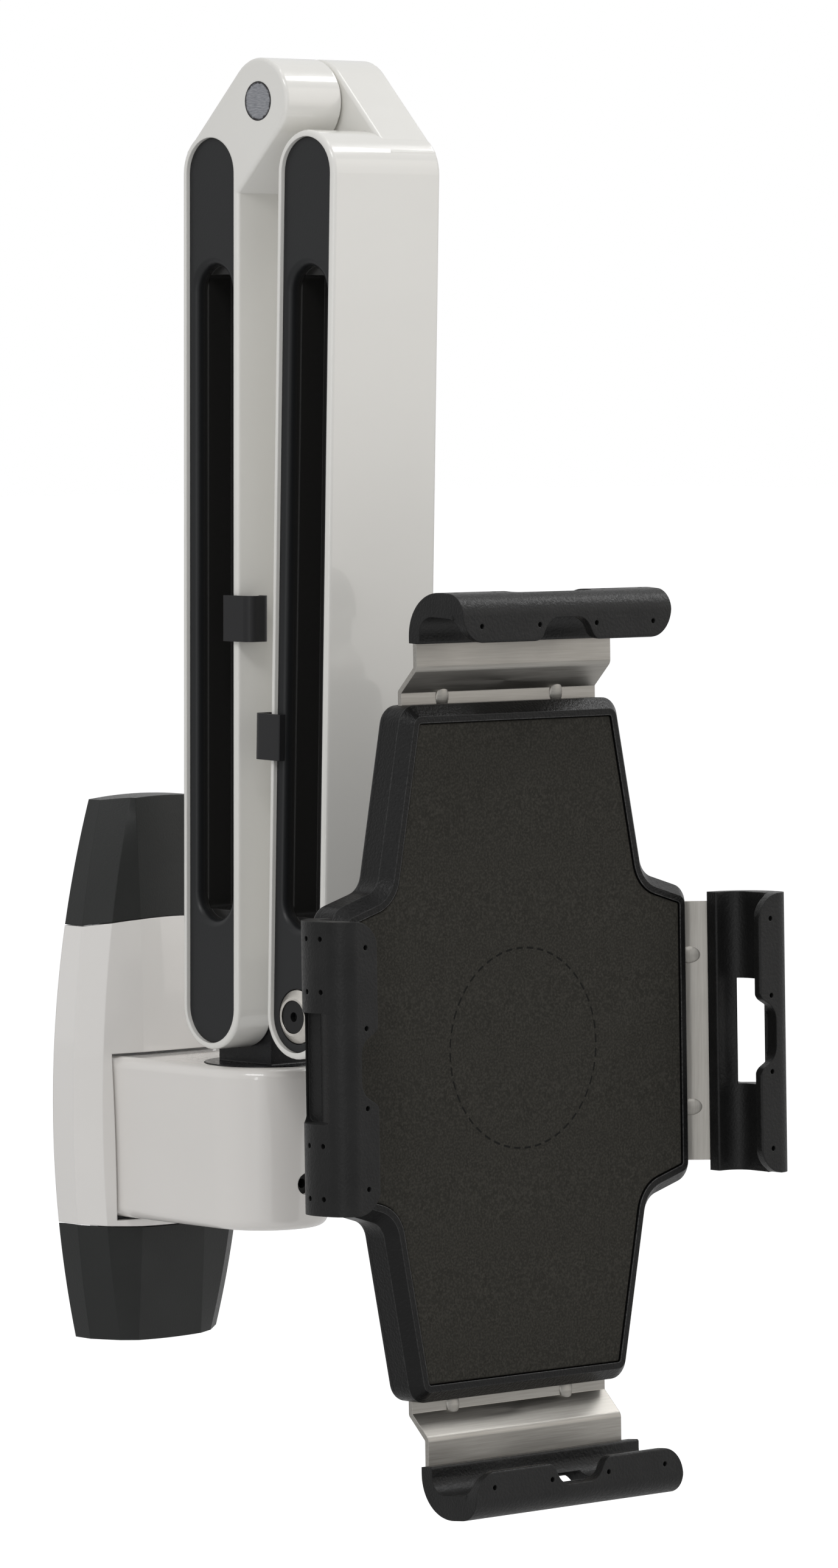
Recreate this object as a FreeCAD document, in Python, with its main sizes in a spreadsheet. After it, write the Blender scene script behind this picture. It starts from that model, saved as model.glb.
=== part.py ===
# Folding wall arm that carries a tablet in a cross-shaped holder, in millimetres.
# The wall is the plane Y = 0, the arm stands out of it towards -Y, and Z points up.
# The origin is the middle of the wall fixing pattern.

import FreeCAD, Part
import math
import os
from FreeCAD import Placement, Rotation, Vector

os.makedirs("parts", exist_ok=True)
doc = FreeCAD.newDocument("TabletWallMount")

SIZES = (
    ("wall_bolt_spacing", 110.0, "wall fixing holes, up the wall"),
    ("wall_bolt_across", 26.0, "wall fixing holes, across the wall"),
    ("wall_bolt_hole", 5.5, "diameter of a wall fixing hole"),
    ("plate_thick", 4.0, "wall plate"),
    ("plate_width", 40.0, "wall plate, at its ends"),
    ("plate_high", 150.0, "wall plate"),
    ("base_half", 35.6, "half width of the base at its widest"),
    ("base_side_arc", 310.0, "radius of the base's bowed sides"),
    ("base_top", 93.6, "height of the base's top corners"),
    ("base_bottom", 73.5, "depth of the base's bottom corners"),
    ("base_top_rise", 3.6, "arch of the top end"),
    ("base_bottom_drop", 2.0, "arch of the bottom end"),
    ("base_edge_depth", 9.9, "depth of the base at its side edge"),
    ("base_shoulder_depth", 15.8, "depth inside the side bevel"),
    ("base_bevel", 7.3, "width of the side bevel"),
    ("base_front_depth", 17.8, "depth of the flat middle"),
    ("base_front_half", 13.0, "half width of the flat middle"),
    ("base_front_arc", 1100.0, "radius of the front, seen from the side"),
    ("cover_wall", 2.5, "wall of the base covers"),
    ("top_seam", 55.8, "height of the seam under the top cap"),
    ("top_seam_rise", 3.0, "arch of that seam"),
    ("bottom_seam", 37.0, "depth of the seam over the bottom cap"),
    ("bottom_seam_drop", 2.0, "arch of that seam"),
    ("seam_gap", 0.3, "gap between covers"),
    ("swivel_reach", 60.0, "wall to the base swivel's axis"),
    ("nose_top", 15.6, "height of the nose's top"),
    ("nose_bottom", 35.5, "depth of the nose's underside"),
    ("nose_radius", 22.0, "round front of the nose, at the top"),
    ("nose_root_half", 24.2, "half width of the nose where it leaves the cover"),
    ("nose_draft", 2.7, "taper of the nose, in degrees"),
    ("nose_top_round", 3.3, "rounded top edge of the nose"),
    ("nose_bottom_round", 3.5, "rounded bottom edge of the nose"),
    ("nose_flange_thick", 4.0, "nose flange on the wall plate"),
    ("nose_flange_more", 6.3, "nose flange, beyond the nose's side"),
    ("nose_screw", 2.0, "screws through the nose flange"),
    ("nose_screw_head", 2.8, "their heads"),
    ("nose_screw_edge", 3.1, "screw to the flange's edge"),
    ("nose_screw_rise", 9.5, "screw to the flange's top or foot"),
    ("nose_gap", 0.9, "gap round the nose in the cover"),
    ("tension_hole", 6.8, "diameter of the screw hole in the nose's front"),
    ("tension_drop", 21.0, "depth of that hole below the origin"),
    ("tension_length", 9.0, "tension screw"),
    ("swivel_shaft", 7.0, "radius of the swivel shaft"),
    ("shaft_short", 1.5, "shaft's end above the nose's underside"),
    ("bush_wall", 2.0, "wall of the swivel bushes"),
    ("bush_length", 14.0, "length of a swivel bush"),
    ("running_gap", 0.05, "radial gap of a running fit"),
    ("free_gap", 0.35, "gap between faces that pass each other"),
    ("disc_radius", 18.2, "flange under the swivel's tongue"),
    ("disc_thick", 2.6, "same flange"),
    ("disc_proud", 0.3, "how far the flange stands above the nose"),
    ("nut_well", 9.0, "depth of the nut's well in the nose's underside"),
    ("nut_well_radius", 12.5, "same well"),
    ("nut_across", 20.8, "spindle nut, across its corners"),
    ("nut_thick", 4.5, "spindle nut"),
    ("washer_thick", 1.2, "friction and spindle washers"),
    ("tongue_wide", 15.0, "swivel tongue, across the arm"),
    ("tongue_deep", 24.5, "swivel tongue, along the arm's depth"),
    ("shoulder_high", 34.0, "height of the lower pivot"),
    ("arm_span", 280.0, "pivot to elbow pin, up the arm"),
    ("elbow_offset", 22.37, "arm's middle to the elbow pin"),
    ("arm_wide", 44.0, "arm, across"),
    ("arm_deep", 26.2, "arm, front to back"),
    ("arm_short", 21.8, "elbow pin to the centre of the arm's round end"),
    ("fold_angle", 1.1, "upper arm's lean when folded, in degrees"),
    ("head_radius", 13.3, "elbow lobe"),
    ("lobe_root", 1.8, "elbow lobe, into the arm"),
    ("head_lower_half", 23.0, "width of the lower arm's elbow lobe"),
    ("head_upper_start", 24.0, "where the upper arm's elbow lobe starts"),
    ("arm_round", 1.2, "rounded long edges of the arms and their lobes"),
    ("rim_wall", 2.0, "white rim round each cover"),
    ("rim_deep", 1.3, "cover's depth below the rim"),
    ("cover_thick", 2.4, "arm cover"),
    ("cover_gap", 0.15, "gap round an arm cover"),
    ("slot_wide", 16.0, "cable slot in a cover"),
    ("slot_top", 49.9, "elbow pin to the slot's upper end"),
    ("slot_low", 27.2, "far pivot to the slot's lower end"),
    ("slot_flare", 2.2, "rounded lip of the slot"),
    ("trough_wall", 1.3, "wall of the cable trough"),
    ("web_thick", 5.0, "web between the two troughs"),
    ("trough_gap", 2.9, "trough's floor to that web"),
    ("trough_deep", "=(arm_wide - web_thick) / 2 - rim_deep - trough_wall - trough_gap",
     "trough, below the cover's face"),
    ("pin_radius", 6.0, "elbow pin"),
    ("lower_pin_radius", 5.0, "lower pivot pin"),
    ("bolt_radius", 4.0, "tilt bolt"),
    ("bolt_head_radius", 5.05, "tilt bolt's head"),
    ("bolt_socket", 1.5, "half of the socket's width"),
    ("socket_deep", 2.5, "depth of a socket"),
    ("bolt_low", 0.4, "bolt's head below its ring"),
    ("bolt_fit", 0.1, "gap round the bolt's head"),
    ("ring_radius", 8.25, "cone ring under the bolt's head"),
    ("ring_top", 5.9, "same ring, at its outer end"),
    ("ring_proud", 2.0, "how far the ring stands out of the cover"),
    ("clip_high", 14.2, "cable clip, along the arm"),
    ("clip_thick", 1.2, "cable clip"),
    ("clip_reach", 6.6, "cable clip's loop, out of the arm"),
    ("clip_tab", 5.7, "cable clip's tab, along the arm's side"),
    ("clip_loop_wide", 9.0, "cable clip's loop, across the arm"),
    ("clip_mouth", 1.9, "opening between the loop's end and the arm"),
    ("lower_clip_drop", 158.8, "elbow pin to the lower arm's clip"),
    ("upper_clip_drop", 194.6, "elbow pin to the upper arm's clip"),
    ("holder_reach", 177.5, "wall to the holder's rim plane"),
    ("holder_high", 28.5, "height of the holder's middle"),
    ("holder_lean", 1.4, "holder's lean to the wall at its top, in degrees"),
    ("shell_top", 100.8, "holder rim, middle to its top"),
    ("shell_top_half", 41.3, "holder rim, half width at the top"),
    ("shell_notch_out", 51.84, "inner corner of the cross, sideways"),
    ("shell_notch_up", 47.19, "inner corner of the cross, upwards"),
    ("shell_end", 69.8, "holder rim, middle to its side end"),
    ("shell_end_half", 41.8, "holder rim, half height at the side end"),
    ("shell_corner", 3.0, "rounded outer corners of the rim"),
    ("shell_notch_round", 10.0, "rounded inner corners of the rim"),
    ("shell_bevel", 3.35, "bevel round the rim"),
    ("front_deep", 10.05, "front shell, rim to seam"),
    ("back_deep", 2.45, "back shell"),
    ("back_round", 1.4, "rounded edge of the back shell"),
    ("shell_wall", 2.5, "shell wall"),
    ("pad_inset", 2.0, "rim round the foam pad"),
    ("pad_recess", 3.0, "depth of the pad's recess"),
    ("pad_low", 0.4, "pad's face below the rim"),
    ("strip_wide", 80.0, "sliding bracket"),
    ("strip_thick", 1.5, "sliding bracket's sheet"),
    ("strip_low", 7.5, "bracket's front face below the rim plane"),
    ("slide_gap", 0.25, "gap over and under a bracket"),
    ("joggle", 7.0, "bracket's step forward"),
    ("slide_out", 22.0, "a bracket's travel outwards"),
    ("slide_in", 0.5, "a bracket's travel inwards"),
    ("tall_guide_in", 20.15, "holder's edge to the top and bottom brackets' guide screws"),
    ("tall_guide", "=shell_top + shell_bevel - tall_guide_in", "middle to those screws"),
    ("tall_root_in", 17.0, "those brackets, inwards from their guide slots"),
    ("tall_root", "=tall_guide - slide_out - tall_root_in", "middle to their inner ends"),
    ("tall_step_out", 3.55, "holder's edge to those brackets' step"),
    ("tall_joggle", "=shell_top + shell_bevel + tall_step_out", "middle to their step"),
    ("tall_step_run", 15.0, "that step to the rubber hook"),
    ("tall_hook", "=tall_joggle + tall_step_run", "middle to the rubber hook"),
    ("wide_guide_in", 15.15, "holder's edge to the side brackets' guide screws"),
    ("wide_guide", "=shell_end + shell_bevel - wide_guide_in", "middle to those screws"),
    ("wide_root_in", 6.0, "those brackets, inwards from their guide slots"),
    ("wide_root", "=wide_guide - slide_out - wide_root_in", "middle to their inner ends"),
    ("wide_step_out", 2.15, "holder's edge to those brackets' step"),
    ("wide_joggle", "=shell_end + shell_bevel + wide_step_out", "middle to their step"),
    ("wide_step_run", 5.7, "that step to the rubber hook"),
    ("wide_hook", "=wide_joggle + wide_step_run", "middle to the rubber hook"),
    ("flange_in_hook", 3.5, "bracket under the rubber"),
    ("shell_screw_across", 40.0, "screws that close the shells, across"),
    ("shell_screw_up", 66.0, "screws that close the shells, up the holder"),
    ("shell_boss", 4.0, "bosses round those screws"),
    ("shell_skin", 1.3, "front shell left over the screw holes"),
    ("guide_radius", 2.0, "guide screw"),
    ("guide_head", 3.8, "guide screw's head"),
    ("guide_head_high", 2.2, "guide screw's head"),
    ("hook_long", 86.0, "rubber hook"),
    ("hook_deep", 16.0, "rubber hook, outwards"),
    ("hook_high", 23.7, "rubber hook, front to back"),
    ("hook_wall", 4.5, "rubber under the tablet's back"),
    ("hook_floor", 8.6, "inside depth of the hook"),
    ("lip_thick", 3.0, "hook's lip"),
    ("lip_start", 1.8, "hook's lip, inner edge"),
    ("hook_back_round", 14.0, "hook's outer curve"),
    ("hook_front_round", 6.0, "hook's front curve"),
    ("lip_corner", 9.0, "rounded corners of the lip"),
    ("lip_notch", 9.95, "radius of the finger notch in the lip"),
    ("lip_notch_deep", 7.0, "finger notch"),
    ("vent_radius", 0.8, "small blind holes in the rubber"),
    ("vent_deep", 2.2, "their depth in the lip"),
    ("lip_vent_in", 4.9, "lip's inner edge to its row of holes"),
    ("lip_vent_near", 11.7, "that row's inner holes, from the middle"),
    ("lip_vent_far", 35.3, "that row's outer holes, from the middle"),
    ("side_vent_low", 9.3, "lower row in the outer curve, above the bracket"),
    ("side_vent_high", 15.3, "upper row in the outer curve, above the bracket"),
    ("side_vent_near", 22.5, "those rows' inner holes, from the middle"),
    ("side_vent_far", 38.0, "those rows' outer holes, from the middle"),
    ("window_half", 16.3, "window in the hook's outer curve"),
    ("window_low", 1.5, "window's lower edge above the bracket"),
    ("window_high", 18.0, "window's upper edge above the bracket"),
    ("rotor_radius", 30.0, "rotation disc behind the holder"),
    ("rotor_thick", 3.5, "same disc"),
    ("rotor_shaft", 8.0, "rotation shaft"),
    ("rotor_washer", 1.0, "friction washer on the disc"),
    ("keeper_radius", 15.0, "keeper plate inside the holder"),
    ("keeper_thick", 2.0, "same plate"),
    ("keeper_well", 0.8, "well for the plate in the front shell"),
    ("keeper_screw", 1.5, "its three screws"),
    ("keeper_bite", 5.0, "their length in the shaft"),
    ("keeper_screw_ring", 5.0, "their distance from the axis"),
    ("neck_reach", 31.0, "tilt bolt to the head swivel's axis"),
    ("knuckle_radius", 11.0, "barrel of the head swivel"),
    ("knuckle_high", 22.0, "same barrel"),
    ("ear_thick", 6.0, "ears of the head link"),
    ("head_pin_radius", 4.0, "head swivel pin"),
    ("head_pin_cap", 5.5, "heads of that pin"),
    ("head_pin_cap_high", 2.5, "heads of that pin"),
)

sheet = doc.addObject("Spreadsheet::Sheet", "Sizes")
for row, (alias, value, note) in enumerate(SIZES, 1):
    sheet.set("A%d" % row, note)
    sheet.set("B%d" % row, str(value))
    sheet.setAlias("B%d" % row, alias)
doc.recompute()


class Sizes:
    """The sheet's values as plain numbers."""


v = Sizes()
for alias, value, note in SIZES:
    setattr(v, alias, float(getattr(sheet, alias)))

pieces = {}


# Outlines. A corner is (x, y, radius), and corners are listed anticlockwise.

def outline(corners):
    spans = []
    for index, (x, y, radius) in enumerate(corners):
        here = Vector(x, y, 0)
        if not radius:
            spans.append((here, None, here))
            continue
        following = corners[(index + 1) % len(corners)]
        back = (Vector(*corners[index - 1][:2], 0) - here).normalize()
        ahead = (Vector(*following[:2], 0) - here).normalize()
        half = back.getAngle(ahead) / 2
        reach = radius / math.tan(half)
        inside = (back + ahead).normalize() * (radius / math.sin(half) - radius)
        spans.append((here + back * reach, here + inside, here + ahead * reach))
    loop = []
    for index, (start, middle, end) in enumerate(spans):
        following = spans[(index + 1) % len(spans)][0]
        if middle:
            loop.append(Part.Arc(start, middle, end))
        if (following - end).Length > 1e-4:
            loop.append(Part.LineSegment(end, following))
    return loop


def grown(corners, more):
    """The same outline moved outwards by more, or inwards where more is negative."""
    moved = []
    for index, (x, y, radius) in enumerate(corners):
        before = corners[index - 1]
        after = corners[(index + 1) % len(corners)]
        first = Vector(x - before[0], y - before[1], 0).normalize()
        second = Vector(after[0] - x, after[1] - y, 0).normalize()
        one = Vector(first.y, -first.x, 0)
        two = Vector(second.y, -second.x, 0)
        shift = (one + two) * (more / (1 + one.dot(two)))
        outward = first.cross(second).z > 0
        if radius:
            radius = max(radius + (more if outward else -more), 0.2)
        moved.append((x + shift.x, y + shift.y, radius))
    return moved


def box_outline(left, right, low, high, radius=0.0):
    return [(left, low, radius), (right, low, radius), (right, high, radius), (left, high, radius)]


def circle(x, y, radius):
    return [Part.Circle(Vector(x, y, 0), Vector(0, 0, 1), radius)]


# Features. A length is an expression on the sheet, so that it stays bound to it.

def new_body(name, place=None):
    body = doc.addObject("PartDesign::Body", name)
    body.Label = name
    if place:
        body.Placement = place
    pieces[name] = body
    return body


def sketch(body, plane, loops, lift="0"):
    """A sketch on one of the body's own planes, lifted along that plane's normal."""
    drawing = body.newObject("Sketcher::SketchObject", body.Name + "_outline")
    support = [p for p in body.Origin.OriginFeatures if p.Role == plane + "_Plane"][0]
    drawing.AttachmentSupport = [(support, "")]
    drawing.MapMode = "FlatFace"
    drawing.setExpression("AttachmentOffset.Base.z", lift)
    for loop in loops:
        drawing.addGeometry(loop, False)
    return drawing


def extrude(kind, body, plane, loops, length, lift="0", back=False, both=False, taper=None):
    drawing = sketch(body, plane, loops, lift)
    feature = body.newObject("PartDesign::" + kind, body.Name + "_" + kind.lower())
    feature.Profile = drawing
    feature.setExpression("Length", length)
    feature.Reversed = back
    feature.Midplane = both
    if taper:
        feature.setExpression("TaperAngle", taper)
    doc.recompute()
    return feature


def pad(body, plane, loops, length, **more):
    return extrude("Pad", body, plane, loops, length, **more)


def pocket(body, plane, loops, length, **more):
    """A pocket that must take material away: a wrong direction stops the build."""
    before = body.Shape.Volume
    feature = extrude("Pocket", body, plane, loops, length, **more)
    if body.Shape.Volume > before - 0.01:
        raise RuntimeError("%s cuts nothing" % feature.Name)
    return feature


def edges_where(shape, test):
    return ["Edge%d" % (i + 1) for i, edge in enumerate(shape.Edges) if test(edge)]


def dress(kind, body, size, test, size_name):
    """A fillet or chamfer on each edge of the body's last feature that passes the test."""
    base = body.Tip
    names = edges_where(base.Shape, test)
    if not names:
        raise RuntimeError("no edge to dress on " + body.Name)
    feature = body.newObject("PartDesign::" + kind, body.Name + "_" + kind.lower())
    feature.Base = (base, names)
    feature.setExpression(size_name, size)
    doc.recompute()
    return feature


def fillet(body, size, test):
    return dress("Fillet", body, size, test, "Radius")


def chamfer(body, size, test):
    return dress("Chamfer", body, size, test, "Size")


def in_plane(edge, axis, level):
    """Whether the whole edge lies at one level of an axis of the piece's own frame."""
    box = edge.BoundBox
    low = getattr(box, axis + "Min")
    high = getattr(box, axis + "Max")
    return abs(low - level) < 0.02 and abs(high - level) < 0.02


def rod(name, radius, length, place):
    """A round bar that starts at the placement and runs along its Z."""
    bar = doc.addObject("Part::Cylinder", name)
    bar.setExpression("Radius", radius)
    bar.setExpression("Height", length)
    bar.Placement = place
    return bar


def combine(kind, name, base, tool):
    joined = doc.addObject("Part::" + kind, name)
    joined.Base = base
    joined.Tool = tool
    return joined


def fuse_all(name, shapes):
    joined = doc.addObject("Part::MultiFuse", name)
    joined.Shapes = shapes
    return joined


def group(name, shapes):
    """Identical loose pieces kept together under one name."""
    joined = doc.addObject("Part::Compound", name)
    joined.Links = shapes
    keep(name, joined)
    return joined


def keep(name, shape):
    shape.Label = name
    pieces[name] = shape
    return shape


ALONG_X = Rotation(Vector(0, 0, 1), Vector(1, 0, 0))
ALONG_LEFT = Rotation(Vector(0, 0, 1), Vector(-1, 0, 0))
ALONG_Y = Rotation(Vector(0, 0, 1), Vector(0, 1, 0))
ALONG_BACK = Rotation(Vector(0, 0, 1), Vector(0, -1, 0))
ALONG_DOWN = Rotation(Vector(0, 0, 1), Vector(0, 0, -1))
ALONG_Z = Rotation()


def at(x, y, z, turn=ALONG_Z, frame=None):
    local = Placement(Vector(x, y, z), turn)
    if frame:
        return frame * local
    return local


def ring(name, outer, inner, length, place):
    """A washer or bush."""
    return combine("Cut", name, rod(name + "_outside", outer, length, place),
                   rod(name + "_bore", inner, length, place))


def hexagon(across):
    corners = []
    for step in range(6):
        turn = math.radians(60 * step)
        corners.append((across / 2 * math.cos(turn), across / 2 * math.sin(turn), 0))
    return corners


# The base: three shells cut from one bowed hull, a plate behind them and the nose.

def base_section(height, wall):
    """Half hexagon of the hull at one height, moved inwards by the wall."""
    rise = height - 1.0
    half = v.base_half - v.base_side_arc + math.sqrt(v.base_side_arc ** 2 - rise ** 2)
    fall = rise ** 2 / (2 * v.base_front_arc)
    corners = [
        (half, 0, 0),
        (half, v.base_edge_depth - fall, 0),
        (half - v.base_bevel, v.base_shoulder_depth - fall, 0),
        (v.base_front_half, v.base_front_depth - fall, 0),
        (-v.base_front_half, v.base_front_depth - fall, 0),
        (v.base_bevel - half, v.base_shoulder_depth - fall, 0),
        (-half, v.base_edge_depth - fall, 0),
        (-half, 0, 0),
    ]
    if wall:
        corners = grown(corners, -wall)
        corners[0] = (corners[0][0], -1.0, 0)
        corners[-1] = (corners[-1][0], -1.0, 0)
    return [(x, -depth, radius) for x, depth, radius in corners]


def base_hull(name, wall):
    low = -v.base_bottom - 2 * v.base_bottom_drop
    high = v.base_top + 2 * v.base_top_rise
    sections = []
    for step in range(5):
        height = low + (high - low) * step / 4
        drawing = doc.addObject("Sketcher::SketchObject", "%s_section" % name)
        drawing.Placement = at(0, 0, height)
        drawing.addGeometry(outline(base_section(height, wall)), False)
        sections.append(drawing)
    hull = doc.addObject("Part::Loft", name)
    hull.Sections = sections
    hull.Solid = True
    return hull


def arched(height, rise):
    """Three points of an arch across the base: left, crown and right."""
    wide = v.base_half + 5
    crown = Vector(0, height + rise, 0)
    drop = height + rise - rise * (wide / v.base_half) ** 2
    return Vector(-wide, drop, 0), crown, Vector(wide, drop, 0)


def band(name, low, high):
    """A slice through the whole base between two arches."""
    low_left, low_crown, low_right = low
    high_left, high_crown, high_right = high
    drawing = doc.addObject("Sketcher::SketchObject", name + "_outline")
    drawing.addGeometry([
        Part.Arc(low_left, low_crown, low_right),
        Part.LineSegment(low_right, high_right),
        Part.Arc(high_right, high_crown, high_left),
        Part.LineSegment(high_left, low_left),
    ], False)
    drawing.Placement = Placement(Vector(0, 1, 0), Rotation(Vector(1, 0, 0), 90))
    slab = doc.addObject("Part::Extrusion", name)
    slab.Base = drawing
    slab.DirMode = "Normal"
    slab.setExpression("LengthFwd", "Sizes.base_front_depth + 5")
    slab.Solid = True
    return slab


def nose_outline():
    """The nose seen from above: straight sides and a half-round front."""
    front = v.swivel_reach + v.nose_radius
    root = v.plate_thick + v.nose_flange_thick / 2
    return [
        (-v.nose_root_half, -root, 0),
        (-v.nose_radius, -front, v.nose_radius - 0.15),
        (v.nose_radius, -front, v.nose_radius - 0.15),
        (v.nose_root_half, -root, 0),
    ]


def build_base():
    top = arched(v.base_top, v.base_top_rise)
    bottom = arched(-v.base_bottom, -v.base_bottom_drop)
    inner_top = arched(v.base_top - v.cover_wall, v.base_top_rise)
    inner_bottom = arched(-v.base_bottom + v.cover_wall, -v.base_bottom_drop)
    outside = combine("Common", "base_outside", base_hull("base_hull", 0),
                      band("base_length", bottom, top))
    inside = combine("Common", "base_inside", base_hull("base_hollow", v.cover_wall),
                     band("base_hollow_length", inner_bottom, inner_top))
    shell = combine("Cut", "base_shell", outside, inside)
    cap_foot = arched(v.top_seam + v.seam_gap, v.top_seam_rise)
    cover_top = arched(v.top_seam, v.top_seam_rise)
    cover_foot = arched(-v.bottom_seam, -v.bottom_seam_drop)
    cap_head = arched(-v.bottom_seam - v.seam_gap, -v.bottom_seam_drop)
    keep("top_cap", combine("Common", "top_cap", shell, band("top_band", cap_foot, top)))
    keep("bottom_cap", combine("Common", "bottom_cap", shell,
                               band("bottom_band", bottom, cap_head)))
    middle = combine("Common", "base_middle", shell, band("middle_band", cover_foot, cover_top))
    window = new_body("nose_window")
    pieces.pop("nose_window")
    pad(window, "XY", [outline(grown(nose_outline(), v.nose_gap))],
        "Sizes.nose_top + Sizes.nose_bottom + 2 * Sizes.nose_gap",
        lift="Sizes.nose_top + Sizes.nose_gap", back=True, taper="-Sizes.nose_draft")
    keep("base_cover", combine("Cut", "base_cover", middle, window))


def build_wall_plate():
    """Flat plate on the wall, wider where the nose is screwed to it."""
    plate = new_body("wall_plate")
    half = v.plate_width / 2
    wing = v.nose_root_half + v.nose_flange_more
    centre = (v.base_top - v.base_bottom) / 2
    low = centre - v.plate_high / 2
    high = centre + v.plate_high / 2
    right = [(half, low, 5), (half, -v.nose_bottom - 3, 4), (wing, -v.nose_bottom + 2, 4),
             (wing, v.nose_top, 4), (half, v.nose_top + 8, 4), (half, high, 5)]
    left = [(-x, z, r) for x, z, r in reversed(right)]
    pad(plate, "XZ", [outline(right + left)], "Sizes.plate_thick")
    holes = []
    for x in (-v.wall_bolt_across / 2, v.wall_bolt_across / 2):
        for z in (-v.wall_bolt_spacing / 2, v.wall_bolt_spacing / 2):
            holes.append(circle(x, z, v.wall_bolt_hole / 2))
    holes += [circle(x, z, v.nose_screw) for x, z in nose_screw_places()]
    pocket(plate, "XZ", holes, "Sizes.plate_thick", back=True)


def nose_screw_places():
    side = v.nose_root_half + v.nose_flange_more - v.nose_screw_edge
    heights = (v.nose_top - v.nose_screw_rise, v.nose_screw_rise - v.nose_bottom)
    return [(x, z) for x in (-side, side) for z in heights]


def build_nose():
    nose = new_body("nose_block")
    side = v.nose_root_half + v.nose_flange_more
    pad(nose, "XY", [outline(nose_outline())], "Sizes.nose_top + Sizes.nose_bottom",
        lift="Sizes.nose_top", back=True, taper="-Sizes.nose_draft")
    top = v.nose_top
    bottom = -v.nose_bottom
    root = -v.plate_thick - v.nose_flange_thick / 2 - 0.5

    def rim(level):
        return lambda edge: in_plane(edge, "Z", level) and edge.BoundBox.YMin < root

    fillet(nose, "Sizes.nose_top_round", rim(top))
    fillet(nose, "Sizes.nose_bottom_round", rim(bottom))
    pad(nose, "XZ", [outline(box_outline(-side, side, bottom, top, 3))],
        "Sizes.nose_flange_thick", lift="Sizes.plate_thick")
    holes = [circle(x, z, v.nose_screw) for x, z in nose_screw_places()]
    pocket(nose, "XZ", holes, "Sizes.nose_flange_thick", lift="Sizes.plate_thick", back=True)
    screws = []
    for number, (x, z) in enumerate(nose_screw_places()):
        place = at(x, -v.plate_thick - v.nose_flange_thick, z, ALONG_Y)
        shank = rod("nose_shank_%d" % number, "Sizes.nose_screw",
                    "Sizes.plate_thick + Sizes.nose_flange_thick - Sizes.seam_gap", place)
        head = rod("nose_head_%d" % number, "Sizes.nose_screw_head", "Sizes.nose_screw",
                   at(x, place.Base.y, z, ALONG_BACK))
        screws.append(fuse_all("nose_screw_%d" % number, [shank, head]))
    group("nose_screws", screws)
    reach = -v.swivel_reach
    pocket(nose, "XY", [circle(0, reach, v.disc_radius + v.free_gap)],
        "Sizes.disc_thick - Sizes.disc_proud + Sizes.free_gap", lift="Sizes.nose_top")
    bush = v.swivel_shaft + v.running_gap + v.bush_wall
    pocket(nose, "XY", [circle(0, reach, bush)],
        "Sizes.nose_top + Sizes.nose_bottom", lift="Sizes.nose_top")
    pocket(nose, "XY", [circle(0, reach, v.nut_well_radius)],
        "Sizes.nut_well", lift="-Sizes.nose_bottom", back=True)
    pocket(nose, "XZ", [circle(0, -v.tension_drop, v.tension_hole / 2)],
           "Sizes.nose_radius + 5", lift="Sizes.swivel_reach", back=True)
    seat = v.nose_top - v.disc_thick + v.disc_proud - v.free_gap
    well = v.nut_well - v.nose_bottom
    outer = "Sizes.swivel_shaft + Sizes.running_gap + Sizes.bush_wall"
    inner = "Sizes.swivel_shaft + Sizes.running_gap"
    keep("upper_swivel_bush", ring("upper_swivel_bush", outer, inner, "Sizes.bush_length",
                                   at(0, reach, seat - v.bush_length)))
    keep("lower_swivel_bush", ring("lower_swivel_bush", outer, inner, "Sizes.bush_length",
                                   at(0, reach, well)))
    tip = v.swivel_shaft + v.running_gap + v.bush_wall
    screw = rod("tension_screw_body", "Sizes.tension_hole / 2", "Sizes.tension_length",
                at(0, reach - tip, -v.tension_drop, ALONG_BACK))
    socket = rod("tension_screw_socket", "Sizes.bolt_socket", "Sizes.socket_deep",
                 at(0, reach - tip - v.tension_length, -v.tension_drop, ALONG_Y))
    keep("tension_screw", combine("Cut", "tension_screw", screw, socket))


def build_swivel():
    """Flange, tongue and shaft are one casting that turns in the nose."""
    knuckle = new_body("swivel_knuckle", at(0, -v.swivel_reach, 0))
    flange_foot = v.nose_top + v.disc_proud - v.disc_thick
    pad(knuckle, "XY", [circle(0, 0, v.disc_radius)], "Sizes.disc_thick",
        lift="Sizes.nose_top + Sizes.disc_proud - Sizes.disc_thick")
    half = v.tongue_deep / 2
    tongue = [(-half, flange_foot, 0), (half, flange_foot, 0),
              (half, v.shoulder_high + half, half),
              (-half, v.shoulder_high + half, half)]
    pad(knuckle, "YZ", [outline(tongue)], "Sizes.tongue_wide", both=True)
    pad(knuckle, "XY", [circle(0, 0, v.swivel_shaft)],
        "Sizes.nose_top + Sizes.disc_proud - Sizes.disc_thick + Sizes.nose_bottom"
        " - Sizes.shaft_short",
        lift="Sizes.shaft_short - Sizes.nose_bottom")
    pocket(knuckle, "YZ", [circle(0, v.shoulder_high, v.lower_pin_radius + v.running_gap)],
           "Sizes.tongue_wide", both=True)
    well = v.nut_well - v.nose_bottom
    keep("spindle_washer", ring("spindle_washer", "Sizes.nut_well_radius - Sizes.shaft_short",
                                "Sizes.swivel_shaft", "Sizes.washer_thick",
                                at(0, -v.swivel_reach, well, ALONG_DOWN)))
    nut = new_body("spindle_nut", at(0, -v.swivel_reach, 0))
    pad(nut, "XY", [outline(hexagon(v.nut_across)), circle(0, 0, v.swivel_shaft)],
        "Sizes.nut_thick", lift="Sizes.nut_well - Sizes.nose_bottom - Sizes.washer_thick",
        back=True)


# The arms: one rounded beam with a lobe for the elbow, a web inside and a cover on each side.
# An arm is drawn from its far pivot, with the elbow up and out to one side.

def beam_outline():
    half = v.arm_deep / 2
    top = v.arm_span - v.arm_short + half
    return [(-half, -half, half), (half, -half, half),
            (half, top, half), (-half, top, half)]


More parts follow.
